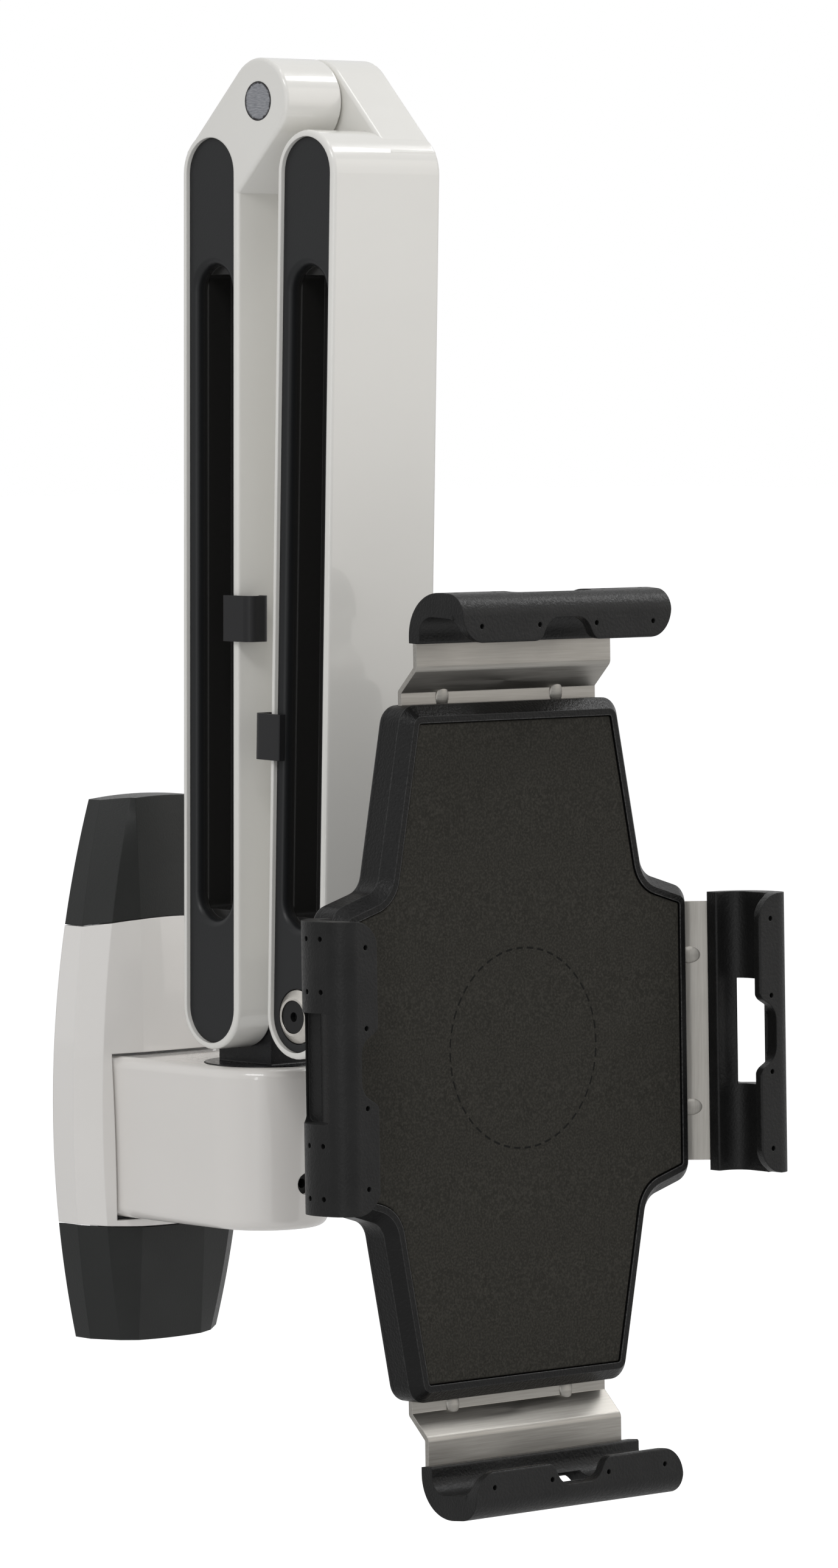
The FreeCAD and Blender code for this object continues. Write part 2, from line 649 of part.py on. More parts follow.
def lobe_outline(side):
    """Elbow lobe: a strap at 45 degrees that ends in a half round about the pin."""
    half = v.arm_deep / 2
    pin = Vector(side * v.elbow_offset, v.arm_span, 0)
    out = Vector(side, 1, 0).normalize()
    across = Vector(-side, 1, 0).normalize() * v.head_radius
    far = out * v.head_radius
    upper = pin + across
    lower = pin - across
    inside = half - v.lobe_root
    back_y = -side * inside
    shoulder = upper - out * abs((upper.x - back_y) / out.x)
    foot = lower - out * abs((lower.x - side * inside) / out.x)
    round_end = v.head_radius
    corners = [
        (foot.x, foot.y, 0),
        (back_y, foot.y, 0),
        (shoulder.x, shoulder.y, 0),
        ((upper + far).x, (upper + far).y, round_end),
        ((lower + far).x, (lower + far).y, round_end),
    ]
    if side > 0:
        corners.reverse()
    return corners


def slot_outline(more=0.0, radius=None):
    half = v.slot_wide / 2
    low = v.slot_low
    high = v.arm_span - v.slot_top
    corners = box_outline(-half, half, low, high, half)
    corners = grown(corners, more)
    if radius is not None:
        corners = [(y, z, radius) for y, z, old in corners]
    return corners


def arm_frame(name, frame, side, lobe_lift, lobe_wide, lobe_face, pivot_hole, elbow_hole):
    levels = (-v.arm_wide / 2, v.arm_wide / 2, lobe_face)

    def long_edge(edge):
        return any(in_plane(edge, "X", level) for level in levels)

    lobe = new_body(name + "_lobe")
    pieces.pop(name + "_lobe")
    pad(lobe, "YZ", [outline(lobe_outline(side))], lobe_wide, lift=lobe_lift)
    fillet(lobe, "Sizes.arm_round", long_edge)
    arm = new_body(name, frame)
    pad(arm, "YZ", [outline(beam_outline())], "Sizes.arm_wide", both=True)
    fillet(arm, "Sizes.arm_round", long_edge)
    joined = arm.newObject("PartDesign::Boolean", name + "_with_lobe")
    joined.setObjects([lobe])
    joined.Type = "Fuse"
    doc.recompute()
    half = v.arm_deep / 2
    recess = grown(beam_outline(), -v.rim_wall)
    trough = slot_outline(v.trough_wall + v.cover_gap, 1.0)
    for level, back in (("Sizes.arm_wide / 2", False), ("-Sizes.arm_wide / 2", True)):
        pocket(arm, "YZ", [outline(recess)], "Sizes.rim_deep + Sizes.cover_thick",
               lift=level, back=back)
        pocket(arm, "YZ", [outline(trough)], "(Sizes.arm_wide - Sizes.web_thick) / 2",
               lift=level, back=back)
    reach = half + v.free_gap
    pocket(arm, "YZ", [outline(box_outline(-reach, reach, -reach, reach + 0.6))],
           "Sizes.tongue_wide + 2 * Sizes.free_gap", both=True)
    pocket(arm, "YZ", [circle(0, 0, pivot_hole)], "Sizes.arm_wide", both=True)
    pocket(arm, "YZ", [circle(side * v.elbow_offset, v.arm_span, elbow_hole)],
           "Sizes.arm_wide", both=True)
    return arm


def arm_cover(name, frame, side, bolt_hole=False):
    """Inset cover with its cable slot and the trough behind the slot, in one moulding."""
    cover = new_body(name, frame)
    face = "(Sizes.arm_wide / 2 - Sizes.rim_deep)"
    inward = side > 0
    sign = "" if inward else "-"
    plate = grown(beam_outline(), -v.rim_wall - v.cover_gap)
    pad(cover, "YZ", [outline(plate)], "Sizes.cover_thick", lift=sign + face, back=inward)
    trough = slot_outline(v.trough_wall, 0.8)
    pad(cover, "YZ", [outline(trough)], "Sizes.trough_deep + Sizes.trough_wall",
        lift=sign + face, back=inward)
    pocket(cover, "YZ", [outline(slot_outline())], "2 * Sizes.cover_thick",
           lift=sign + face, back=not inward)
    deep = slot_outline(-0.4, 1.5)
    shorter = [(y, z + (2.6 if z < v.arm_span / 2 else -2.6), r) for y, z, r in deep]
    below = "(Sizes.arm_wide / 2 - Sizes.rim_deep - 2 * Sizes.cover_thick)"
    pocket(cover, "YZ", [outline(shorter)], "Sizes.trough_deep - 2 * Sizes.cover_thick",
           lift=sign + below, back=not inward)
    level = (1 if inward else -1) * (v.arm_wide / 2 - v.rim_deep)
    low = v.slot_low - 0.1
    high = v.arm_span - v.slot_top + 0.1
    half = v.slot_wide / 2 + 0.1

    def lip(edge):
        box = edge.BoundBox
        inside = box.ZMin > low and box.ZMax < high and box.YMin > -half and box.YMax < half
        return in_plane(edge, "X", level) and inside

    fillet(cover, "Sizes.slot_flare", lip)
    if bolt_hole:
        pocket(cover, "YZ", [circle(0, 0, v.ring_radius + v.free_gap)],
               "2 * Sizes.cover_thick", lift=sign + face, back=not inward)
    return cover


def cable_clip(name, frame, side, drop):
    """Bent strip on the arm's left edge: a tab on the side and an open loop beyond it."""
    clip = new_body(name, frame)
    edge = -v.arm_wide / 2
    thick = v.clip_thick
    flank = v.arm_deep / 2
    tab = flank - v.clip_tab
    out = flank + v.clip_reach
    end = flank + v.clip_mouth
    right = edge - thick + v.clip_loop_wide
    corners = [
        (edge - thick, tab, 0.4),
        (edge + v.rim_deep, tab, 0.3),
        (edge + v.rim_deep, tab + thick, 0.3),
        (edge, tab + thick, 0),
        (edge, out - thick, 1.0),
        (right - thick, out - thick, 1.0),
        (right - thick, end, 0.5),
        (right, end, 0.5),
        (right, out, 3.0),
        (edge - thick, out, 3.0),
    ]
    if side < 0:
        corners = [(x, -y, radius) for x, y, radius in reversed(corners)]
    pad(clip, "XY", [outline(corners)], "Sizes.clip_high",
        lift="Sizes.arm_span - Sizes.%s - Sizes.clip_high / 2" % drop)
    return clip


LOWER_ARM = at(0, -v.swivel_reach, v.shoulder_high)
ELBOW = Vector(0, -v.swivel_reach - v.elbow_offset, v.shoulder_high + v.arm_span)
FOLD = Rotation(Vector(1, 0, 0), v.fold_angle)
BOLT = ELBOW + FOLD.multVec(Vector(0, -v.elbow_offset, -v.arm_span))
UPPER_ARM = Placement(BOLT, FOLD)


def build_lower_arm():
    arm_frame("lower_arm_frame", LOWER_ARM, -1, "-Sizes.arm_wide / 2",
              "Sizes.head_lower_half", v.head_lower_half - v.arm_wide / 2,
              v.lower_pin_radius + v.running_gap,
              v.pin_radius + v.running_gap)
    arm_cover("lower_arm_left_cover", LOWER_ARM, -1)
    arm_cover("lower_arm_right_cover", LOWER_ARM, 1)
    cable_clip("lower_cable_clip", LOWER_ARM, -1, "lower_clip_drop")
    seat = v.arm_wide / 2 - v.rim_deep - v.cover_thick
    keep("lower_pivot_pin", rod("lower_pivot_pin", "Sizes.lower_pin_radius",
                                "Sizes.arm_wide - 2 * Sizes.rim_deep - 2 * Sizes.cover_thick",
                                at(-seat, 0, 0, ALONG_X, LOWER_ARM)))
    keep("elbow_pin", rod("elbow_pin", "Sizes.pin_radius", "Sizes.arm_wide",
                          at(-v.arm_wide / 2, ELBOW.y, ELBOW.z, ALONG_X)))
    face = v.head_lower_half - v.arm_wide / 2
    keep("elbow_washer", ring("elbow_washer", "Sizes.head_radius - 1.5",
                              "Sizes.pin_radius + Sizes.running_gap",
                              "Sizes.head_upper_start - Sizes.head_lower_half - 0.3",
                              at(face, ELBOW.y, ELBOW.z, ALONG_X)))


def build_upper_arm():
    bush_hole = v.pin_radius + v.running_gap + v.bush_wall
    arm_frame("upper_arm_frame", UPPER_ARM, 1, "Sizes.head_upper_start - Sizes.arm_wide / 2",
              "Sizes.arm_wide - Sizes.head_upper_start", v.head_upper_start - v.arm_wide / 2,
              v.bolt_radius + v.running_gap, bush_hole)
    arm_cover("upper_arm_left_cover", UPPER_ARM, -1, bolt_hole=True)
    arm_cover("upper_arm_right_cover", UPPER_ARM, 1, bolt_hole=True)
    cable_clip("upper_cable_clip", UPPER_ARM, 1, "upper_clip_drop")
    start = v.head_upper_start - v.arm_wide / 2
    keep("elbow_bush", ring("elbow_bush", "Sizes.pin_radius + Sizes.running_gap + Sizes.bush_wall",
                            "Sizes.pin_radius + Sizes.running_gap",
                            "Sizes.arm_wide - Sizes.head_upper_start",
                            at(start, ELBOW.y, ELBOW.z, ALONG_X)))
    seat = v.arm_wide / 2 - v.rim_deep - v.cover_thick
    proud = v.cover_thick + v.ring_proud
    for name, side, turn in (("left", -1, ALONG_LEFT), ("right", 1, ALONG_X)):
        place = at(side * seat, 0, 0, turn, UPPER_ARM)
        foot = rod("ring_foot_" + name, "Sizes.ring_radius", "Sizes.cover_thick", place)
        cone = doc.addObject("Part::Cone", "ring_cone_" + name)
        cone.setExpression("Radius1", "Sizes.ring_radius")
        cone.setExpression("Radius2", "Sizes.ring_top")
        cone.setExpression("Height", "Sizes.ring_proud")
        cone.Placement = at(side * (seat + v.cover_thick), 0, 0, turn, UPPER_ARM)
        bore = rod("ring_bore_" + name, "Sizes.bolt_head_radius + Sizes.bolt_fit",
                   "3 * Sizes.ring_proud", place)
        solid = fuse_all("ring_solid_" + name, [foot, cone])
        keep("tilt_ring_" + name, combine("Cut", "tilt_ring_" + name, solid, bore))
    left = at(-seat, 0, 0, ALONG_LEFT, UPPER_ARM)
    right = at(seat, 0, 0, ALONG_X, UPPER_ARM)
    height = "Sizes.cover_thick + Sizes.ring_proud - Sizes.bolt_low"
    shank = rod("tilt_shank", "Sizes.bolt_radius", "2 * %.6f + %.6f" % (seat, proud / 2),
                at(-seat, 0, 0, ALONG_X, UPPER_ARM))
    head = rod("tilt_head", "Sizes.bolt_head_radius", height, left)
    socket = rod("tilt_socket", "Sizes.bolt_socket", "Sizes.socket_deep",
                 at(v.socket_deep - seat - proud, 0, 0, ALONG_LEFT, UPPER_ARM))
    solid = fuse_all("tilt_bolt_solid", [shank, head])
    keep("tilt_bolt", combine("Cut", "tilt_bolt", solid, socket))
    keep("tilt_nut", ring("tilt_nut", "Sizes.bolt_head_radius", "Sizes.bolt_radius",
                          height, right))


# The head: a knuckle in the upper arm's fork, a link that swivels on it and turns the holder.
# Head and holder share one frame: x to the right, z up the holder, -y out of its rim plane.

HOLDER = at(0, -v.holder_reach, v.holder_high,
            Rotation(Vector(1, 0, 0), -v.holder_lean))
BOLT_IN_HOLDER = HOLDER.inverse().multVec(BOLT)
KNUCKLE = HOLDER * at(0, BOLT_IN_HOLDER.y, BOLT_IN_HOLDER.z)
PIN_Y = BOLT_IN_HOLDER.y - v.neck_reach
PIN_Z = BOLT_IN_HOLDER.z


def build_knuckle():
    knuckle = new_body("tilt_knuckle", KNUCKLE)
    radius = v.tongue_deep / 2
    neck = v.knuckle_high / 2 - 2
    pad(knuckle, "YZ", [circle(0, 0, radius)], "Sizes.tongue_wide", both=True)
    pad(knuckle, "YZ", [outline(box_outline(-v.neck_reach, 0, -neck, neck))],
        "Sizes.tongue_wide", both=True)
    pad(knuckle, "XY", [circle(0, -v.neck_reach, v.knuckle_radius)],
        "Sizes.knuckle_high", both=True)
    pocket(knuckle, "YZ", [circle(0, 0, v.bolt_radius + v.running_gap)],
           "Sizes.tongue_wide + 1", both=True)
    pocket(knuckle, "XY", [circle(0, -v.neck_reach, v.head_pin_radius + v.running_gap)],
           "Sizes.knuckle_high + 1", both=True)


def build_head():
    link = new_body("head_link", HOLDER)
    back = v.front_deep + v.back_deep + v.rotor_washer
    disc_back = back + v.rotor_thick
    ear_top = v.knuckle_high / 2 + v.free_gap + v.ear_thick
    stem = [(-v.knuckle_radius, disc_back - 1, 0), (v.knuckle_radius, disc_back - 1, 0),
            (v.knuckle_radius, PIN_Y + v.knuckle_radius, v.knuckle_radius),
            (-v.knuckle_radius, PIN_Y + v.knuckle_radius, v.knuckle_radius)]
    pad(link, "XY", [outline(stem)],
        "Sizes.knuckle_high + 2 * Sizes.free_gap + 2 * Sizes.ear_thick",
        lift="%.6f" % (PIN_Z - ear_top))
    pad(link, "XZ", [circle(0, 0, v.rotor_radius)], "Sizes.rotor_thick",
        lift="-(Sizes.front_deep + Sizes.back_deep + Sizes.rotor_washer + Sizes.rotor_thick)")
    shaft_end = ceiling_low() - v.slide_gap / 2
    pad(link, "XZ", [circle(0, 0, v.rotor_shaft)],
        "%.6f" % (back - shaft_end), lift="%.6f" % -back)
    gap = v.knuckle_high / 2 + v.free_gap
    pocket(link, "YZ", [outline(box_outline(PIN_Y - v.knuckle_radius - 3,
                                            PIN_Y + v.knuckle_radius + 1,
                                            PIN_Z - gap, PIN_Z + gap))],
           "3 * Sizes.knuckle_radius", both=True)
    pocket(link, "XY", [circle(0, PIN_Y, v.head_pin_radius + v.running_gap)],
           "4 * Sizes.neck_reach", both=True)
    screws = keeper_screw_places()
    pocket(link, "XZ", [circle(x, z, v.keeper_screw) for x, z in screws],
           "Sizes.keeper_bite + 1", lift="%.6f" % -shaft_end)
    keeper = new_body("keeper_plate", HOLDER)
    pad(keeper, "XZ", [circle(0, 0, v.keeper_radius)]
        + [circle(x, z, v.keeper_screw) for x, z in screws],
        "Sizes.keeper_thick", lift="%.6f" % -shaft_end)
    rods = []
    for number, (x, z) in enumerate(screws):
        rods.append(rod("keeper_screw_%d" % number, "Sizes.keeper_screw",
                        "Sizes.keeper_thick + Sizes.keeper_bite",
                        at(x, shaft_end - v.keeper_thick, z, ALONG_Y, HOLDER)))
    group("keeper_screws", rods)
    keep("rotation_washer", ring("rotation_washer", "Sizes.rotor_radius - 1",
                                 "Sizes.rotor_shaft + Sizes.running_gap",
                                 "Sizes.rotor_washer",
                                 at(0, back - v.rotor_washer, 0, ALONG_Y, HOLDER)))
    low = PIN_Z - ear_top
    high = PIN_Z + ear_top
    pin = rod("head_pin_body", "Sizes.head_pin_radius", "%.6f" % (high - low),
              at(0, PIN_Y, low, ALONG_Z, HOLDER))
    top_cap = rod("head_pin_top", "Sizes.head_pin_cap", "Sizes.head_pin_cap_high",
                  at(0, PIN_Y, high, ALONG_Z, HOLDER))
    foot_cap = rod("head_pin_foot", "Sizes.head_pin_cap", "Sizes.head_pin_cap_high",
                   at(0, PIN_Y, low, ALONG_DOWN, HOLDER))
    keep("head_swivel_pin", fuse_all("head_swivel_pin", [pin, top_cap, foot_cap]))


def ceiling_low():
    """Depth of the back shell's inner face, just under the sliding brackets."""
    return v.strip_low + v.strip_thick + v.slide_gap


def keeper_screw_places():
    places = []
    for step in range(3):
        turn = math.radians(90 + 120 * step)
        places.append((v.keeper_screw_ring * math.cos(turn), v.keeper_screw_ring * math.sin(turn)))
    return places


# The holder: a cross-shaped shell in two halves, a foam pad and four sliding brackets.

def rim_outline():
    top_half, top = v.shell_top_half, v.shell_top
    end_half, end = v.shell_end_half, v.shell_end
    notch_x, notch_z = v.shell_notch_out, v.shell_notch_up
    corner, inner = v.shell_corner, v.shell_notch_round
    upper_right = [(end, end_half, corner), (notch_x, notch_z, inner), (top_half, top, corner)]
    upper_left = [(-x, z, r) for x, z, r in reversed(upper_right)]
    lower = [(-x, -z, r) for x, z, r in upper_right + upper_left]
    return upper_right + upper_left + lower


def shell_screw_places():
    across, up = v.shell_screw_across / 2, v.shell_screw_up / 2
    return [(x, z) for x in (-across, across) for z in (-up, up)]


def guide_places():
    return [(0, v.tall_guide), (0, -v.tall_guide), (v.wide_guide, 0), (-v.wide_guide, 0)]


def build_shells():
    outer = grown(rim_outline(), v.shell_bevel)
    front = new_body("front_shell", HOLDER)
    pad(front, "XZ", [outline(outer)], "Sizes.front_deep", lift="-Sizes.front_deep")
    chamfer(front, "Sizes.shell_bevel", lambda edge: in_plane(edge, "Y", 0))
    pocket(front, "XZ", [outline(grown(rim_outline(), -v.pad_inset))], "Sizes.pad_recess")
    cavity = "Sizes.front_deep - Sizes.strip_low + Sizes.slide_gap"
    pocket(front, "XZ", [outline(grown(outer, -v.shell_wall))], cavity,
           lift="-Sizes.front_deep", back=True)
    half = v.strip_wide / 2 + v.slide_gap
    pocket(front, "XZ", [outline(box_outline(-half, half, -v.tall_hook, v.tall_hook))],
           cavity, lift="-Sizes.front_deep", back=True)
    pocket(front, "XZ", [outline(box_outline(-v.wide_hook, v.wide_hook, -half, half))],
           cavity, lift="-Sizes.front_deep", back=True)
    pocket(front, "XZ", [circle(0, 0, v.keeper_radius + v.free_gap)],
           "Sizes.keeper_well", lift="-(Sizes.strip_low - Sizes.slide_gap)", back=True)
    bosses = [circle(x, z, v.shell_boss) for x, z in shell_screw_places()]
    pad(front, "XZ", bosses, "Sizes.strip_thick + 2 * Sizes.slide_gap",
        lift="-(Sizes.strip_low + Sizes.strip_thick + Sizes.slide_gap)")
    holes = [circle(x, z, v.guide_radius) for x, z in shell_screw_places() + guide_places()]
    pocket(front, "XZ", holes, "Sizes.front_deep - Sizes.pad_recess - Sizes.shell_skin",
           lift="-Sizes.front_deep", back=True)

    back = new_body("back_shell", HOLDER)
    deep = "-(Sizes.front_deep + Sizes.back_deep)"
    pad(back, "XZ", [outline(outer)], "Sizes.back_deep", lift=deep)
    level = v.front_deep + v.back_deep
    fillet(back, "Sizes.back_round", lambda edge: in_plane(edge, "Y", level))
    plateau = grown(outer, -v.shell_wall - v.slide_gap)
    pad(back, "XZ", [outline(plateau)],
        "Sizes.front_deep - Sizes.strip_low - Sizes.strip_thick - Sizes.slide_gap",
        lift="-Sizes.front_deep")
    pocket(back, "XZ", holes, "Sizes.front_deep", lift=deep, back=True)
    pocket(back, "XZ", [circle(0, 0, v.rotor_shaft + v.running_gap)], "Sizes.front_deep",
           lift=deep, back=True)

    foam = new_body("foam_pad", HOLDER)
    pad(foam, "XZ", [outline(grown(rim_outline(), -v.pad_inset - v.slide_gap))],
        "Sizes.pad_recess - Sizes.pad_low", lift="-Sizes.pad_recess")

    screws = []
    for number, (x, z) in enumerate(guide_places() + shell_screw_places()):
        place = at(x, level, z, ALONG_BACK, HOLDER)
        shank = rod("guide_shank_%d" % number, "Sizes.guide_radius",
                    "Sizes.front_deep + Sizes.back_deep - Sizes.pad_recess - Sizes.shell_skin"
                    " - Sizes.slide_gap", place)
        head = rod("guide_head_%d" % number, "Sizes.guide_head", "Sizes.guide_head_high",
                   at(x, level, z, ALONG_Y, HOLDER))
        screws.append(fuse_all("guide_%d" % number, [shank, head]))
    group("guide_screws", screws[:4])
    group("shell_screws", screws[4:])


def bracket(side, quarter, root, joggle, hook, guide):
    """Aluminium strip that slides between the shells, and the rubber hook at its end."""
    frame = HOLDER * Placement(Vector(0, 0, 0), Rotation(Vector(0, 1, 0), 90 * quarter))
    strip = new_body(side + "_bracket", frame)
    deep, thick, step = v.strip_low, v.strip_thick, v.joggle
    slant = thick * math.tan(math.radians(22.5))
    end = hook + v.flange_in_hook
    profile = [
        (deep, root, 0),
        (deep + thick, root, 0),
        (deep + thick, joggle + slant, 1.5),
        (deep + thick - step, joggle + step + slant, 1.0),
        (deep + thick - step, end, 0),
        (deep - step, end, 0),
        (deep - step, joggle + step, 2.5),
        (deep, joggle, 0.3),
    ]
    pad(strip, "YZ", [outline(profile)], "Sizes.strip_wide", both=True)
    half = v.guide_radius + v.free_gap
    slot = box_outline(-half, half, guide - v.slide_out - half, guide + v.slide_in + half,
                       half)
    pocket(strip, "XZ", [outline(slot)], "2 * Sizes.front_deep", lift="-2 * Sizes.front_deep",
           back=True)

    rubber = new_body(side + "_hook", frame)
    face = deep - step
    high, out = v.hook_high, v.hook_deep
    profile = [
        (face, hook, 0),
        (face, hook + out, v.hook_back_round),
        (face - high, hook + out, v.hook_front_round),
        (face - high, hook + v.lip_start, 0.8),
        (face - high + v.lip_thick, hook + v.lip_start, 0.6),
        (face - high + v.lip_thick, hook + v.hook_floor, 3.0),
        (face - v.hook_wall, hook + v.hook_floor, 6.0),
        (face - v.hook_wall, hook, 0.8),
    ]
    pad(rubber, "YZ", [outline(profile)], "Sizes.hook_long", both=True)
    window = box_outline(-v.window_half, v.window_half, face - v.window_high,
                         face - v.window_low, 2.0)
    pocket(rubber, "XY", [outline(window)], "Sizes.hook_deep - Sizes.hook_floor + 2.6",
           lift="%.6f" % (hook + out + 1))
    vents = [circle(x, face - z, v.vent_radius)
             for x in (-v.side_vent_far, -v.side_vent_near, v.side_vent_near, v.side_vent_far)
             for z in (v.side_vent_low, v.side_vent_high)]
    pocket(rubber, "XY", vents, "Sizes.vent_deep + 1", lift="%.6f" % (hook + out + 1))
    row = hook + v.lip_start + v.lip_vent_in
    vents = [circle(x, row, v.vent_radius)
             for x in (-v.lip_vent_far, -v.lip_vent_near, v.lip_vent_near, v.lip_vent_far)]
    pocket(rubber, "XZ", vents, "Sizes.vent_deep + 0.5",
           lift="Sizes.hook_high - Sizes.strip_low + Sizes.joggle + 0.5")
    edge = hook + v.lip_start - 0.02
    wide = v.hook_long / 2 + 0.02
    top = hook + out + 3
    bottom = edge + v.lip_notch_deep
    kept = [
        (-wide, edge, v.lip_corner),
        (-v.lip_notch - 1.3, edge, 4.0),
        (-v.lip_notch + 2.5, bottom, 6.0),
        (v.lip_notch - 2.5, bottom, 6.0),
        (v.lip_notch + 1.3, edge, 4.0),
        (wide, edge, v.lip_corner),
        (wide, top, 0),
        (-wide, top, 0),
    ]
    around = box_outline(-wide - 5, wide + 5, edge - 5, top + 5)
    pocket(rubber, "XZ", [outline(around), outline(kept)], "Sizes.lip_thick + 2",
           lift="Sizes.hook_high - Sizes.strip_low + Sizes.joggle + 0.5")


build_wall_plate()
build_base()
build_nose()
build_swivel()
build_lower_arm()
build_upper_arm()
build_knuckle()
build_head()
build_shells()
bracket("top", 0, v.tall_root, v.tall_joggle, v.tall_hook, v.tall_guide)
bracket("right", 1, v.wide_root, v.wide_joggle, v.wide_hook, v.wide_guide)
bracket("bottom", 2, v.tall_root, v.tall_joggle, v.tall_hook, v.tall_guide)
bracket("left", 3, v.wide_root, v.wide_joggle, v.wide_hook, v.wide_guide)
doc.recompute()

for item in doc.Objects:
    if "Invalid" in item.State or "Error" in item.State:
        raise RuntimeError("%s failed: %s" % (item.Name, item.State))
for name, item in pieces.items():
    shape = item.Shape
    if shape.isNull() or not shape.isValid():
        raise RuntimeError(name + " has no sound shape")
for name, item in pieces.items():
    item.Shape.exportStep("parts/%s.step" % name)
    print("%-24s %9.1f mm3  %d solid(s)" % (name, item.Shape.Volume, len(item.Shape.Solids)))
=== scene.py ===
import math

import bpy
from mathutils import Matrix, Vector


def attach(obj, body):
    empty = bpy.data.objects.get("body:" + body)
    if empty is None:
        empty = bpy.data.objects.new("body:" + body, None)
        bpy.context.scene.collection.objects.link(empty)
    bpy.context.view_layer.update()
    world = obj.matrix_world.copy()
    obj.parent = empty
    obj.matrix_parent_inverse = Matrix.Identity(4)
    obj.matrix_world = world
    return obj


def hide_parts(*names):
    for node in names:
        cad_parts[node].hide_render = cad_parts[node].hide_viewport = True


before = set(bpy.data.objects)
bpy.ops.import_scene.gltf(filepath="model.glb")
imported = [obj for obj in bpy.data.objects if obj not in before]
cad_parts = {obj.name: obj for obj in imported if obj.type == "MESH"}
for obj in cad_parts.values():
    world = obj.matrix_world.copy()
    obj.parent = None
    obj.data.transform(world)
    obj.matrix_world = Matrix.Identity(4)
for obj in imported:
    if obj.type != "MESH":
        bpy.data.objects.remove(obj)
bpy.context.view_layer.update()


# The camera and the room. A long lens looks from the front left, a little down, as in the
# photograph. The room is pale, with soft lamps at the upper left, the upper right and
# overhead, weaker ones at the right and low on the left, and a plain pale floor far below.

lens = bpy.data.cameras.new("photo_lens")
lens.lens = 171.8
lens.sensor_width = 36.0
camera = bpy.data.objects.new("photo_camera", lens)
bpy.context.scene.collection.objects.link(camera)
right = Vector((0.73602349, -0.67695469, 0.00132673))
up = Vector((0.03882086, 0.0441647, 0.99826971))
back = Vector((-0.67584196, -0.73469846, 0.05878622))
turn = Matrix((right, up, back)).transposed().to_4x4()
camera.matrix_world = Matrix.Translation((-1.54232, -1.80841, 0.23999)) @ turn
bpy.context.scene.camera = camera
bpy.context.scene.view_settings.view_transform = "Standard"


class Field:
    """A shader socket that can be written in sums."""

    def __init__(self, tree, socket):
        self.tree = tree
        self.socket = socket

    def node(self, kind, settings, values, out=0):
        """Adds a node: its settings first, then the values or links of its sockets."""
        made = self.tree.nodes.new("ShaderNode" + kind)
        for key, value in settings.items():
            setattr(made, key, value)
        for key, value in values.items():
            if isinstance(value, Field):
                self.tree.links.new(value.socket, made.inputs[key])
            else:
                made.inputs[key].default_value = value
        return Field(self.tree, made.outputs[out])

    def sum(self, operation, one, two):
        return self.node("Math", {"operation": operation}, {0: one, 1: two})

    def __add__(self, other):
        return self.sum("ADD", self, other)

    def __sub__(self, other):
        return self.sum("SUBTRACT", self, other)

    def __mul__(self, other):
        return self.sum("MULTIPLY", self, other)

    def __gt__(self, other):
        return self.sum("GREATER_THAN", self, other)

    def __abs__(self):
        return self.node("Math", {"operation": "ABSOLUTE"}, {0: self})

    def vector(self, operation, other, out=0):
        return self.node("VectorMath", {"operation": operation}, {0: self, 1: other}, out)

    def length(self):
        return self.node("VectorMath", {"operation": "LENGTH"}, {0: self}, out=1)

    def part(self, axis):
        """The vector's x, y or z, by the number 0, 1 or 2."""
        return self.node("SeparateXYZ", {}, {0: self}, out=axis)

    def wave(self):
        return self.node("Math", {"operation": "SINE"}, {0: self})

    def near(self, other, width):
        """1 where the value is within the width of the other."""
        return self.node("Math", {"operation": "COMPARE"}, {0: self, 1: other, 2: width})

    def ramp(self, low, high, start=0.0, end=1.0):
        """The value's range low to high, carried over to start to end and held there."""
        return self.node("MapRange", {"clamp": True},
                         {"Value": self, "From Min": low, "From Max": high,
                          "To Min": start, "To Max": end})


def new_finish(name):
    """A material, its object coordinates and its shader."""
    material = bpy.data.materials.new(name)
    material.use_nodes = True
    tree = material.node_tree
    places = Field(tree, tree.nodes.new("ShaderNodeTexCoord").outputs["Object"])
    return material, places, tree.nodes["Principled BSDF"]


def feed(places, shader, values):
    """Gives the shader's sockets values or links."""
    for key, value in values.items():
        if isinstance(value, Field):
            places.tree.links.new(value.socket, shader.inputs[key])
        else:
            shader.inputs[key].default_value = value


def mixed(places, mask, one, two):
    """Colour one where the mask is 0, and two where it is 1."""
    blend = places.tree.nodes.new("ShaderNodeMix")
    blend.data_type = "RGBA"
    for key, value in ((0, mask), (6, one), (7, two)):
        if isinstance(value, Field):
            places.tree.links.new(value.socket, blend.inputs[key])
        else:
            blend.inputs[key].default_value = value
    return Field(places.tree, blend.outputs[2])


def grain(places, size, detail, stretch=(1, 1, 1)):
    """Noise whose lumps are about the size, in metres."""
    return places.node("TexNoise", {}, {"Vector": places.vector("MULTIPLY", stretch),
                                        "Scale": 1 / size, "Detail": detail})


def relief(places, height, depth, edge=0.0):
    """The bumps of a height field, over edges softened by the radius edge."""
    values = {"Height": height, "Strength": 1.0, "Distance": depth}
    if edge:
        values["Normal"] = places.node("Bevel", {"samples": 6}, {"Radius": edge})
    return places.node("Bump", {}, values)


def edges_of(places, width):
    """1 along the sharp edges, over about the width, and 0 on the faces."""
    soft = places.node("Bevel", {"samples": 8}, {"Radius": width})
    sharp = places.node("NewGeometry", {}, {}, out=1)
    return soft.vector("DOT_PRODUCT", sharp, out=1).ramp(0.90, 0.985, 1.0, 0.0)


def wear(finish, *names):
    """Gives CAD nodes a finish."""
    for name in names:
        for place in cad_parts[name].material_slots:
            place.material = finish


